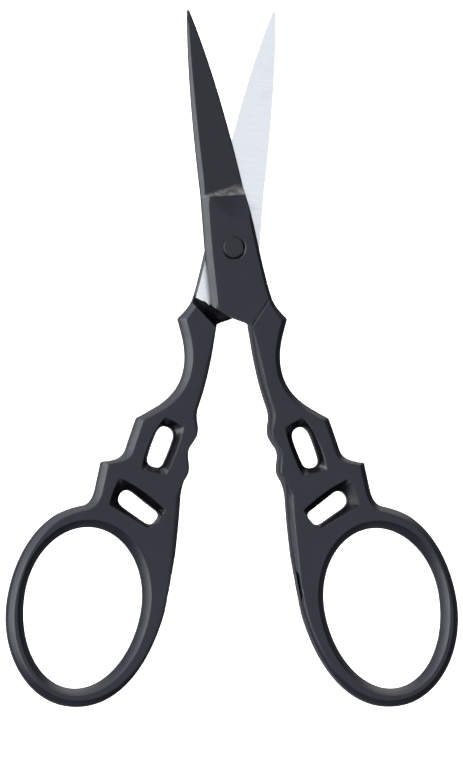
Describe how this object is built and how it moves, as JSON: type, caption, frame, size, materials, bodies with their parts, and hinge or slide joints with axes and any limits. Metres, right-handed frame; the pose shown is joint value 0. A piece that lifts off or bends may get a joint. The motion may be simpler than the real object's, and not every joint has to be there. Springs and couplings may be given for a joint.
{
  "type": "embroidery scissors",
  "caption": "Small black coated thread snips with two pivoted halves, slim pointed blades, stepped and pierced handles and oval finger bows.",
  "frame": {"origin": "on the pivot axis, at the back face of the rivet and of the rear half, which is the plane the scissors lie on", "axes": "+Z along the pivot axis through the thickness, from the back to the front half; +Y along the scissors' middle line from the finger bows to the blade tips; +X to the right, to the front half's handle"},
  "size_m": [0.0722, 0.11, 0.0038],
  "materials": {
    "black_coating": "satin black coating over forged steel, with the flat inner faces of the blades and tangs left as bright ground steel",
    "rivet_coating": "satin black coating over a flush steel rivet"
  },
  "bodies": {
    "rear": {"rear_half": "black_coating", "pivot_rivet": "rivet_coating"},
    "front": {"front_half": "black_coating"}
  },
  "joints": [
    {"name": "pivot", "type": "hinge", "parent": "rear", "child": "front", "pos_m": [0, 0, 0], "axis": [0, 0, 1], "range_deg": [-21.4, 110]}
  ]
}
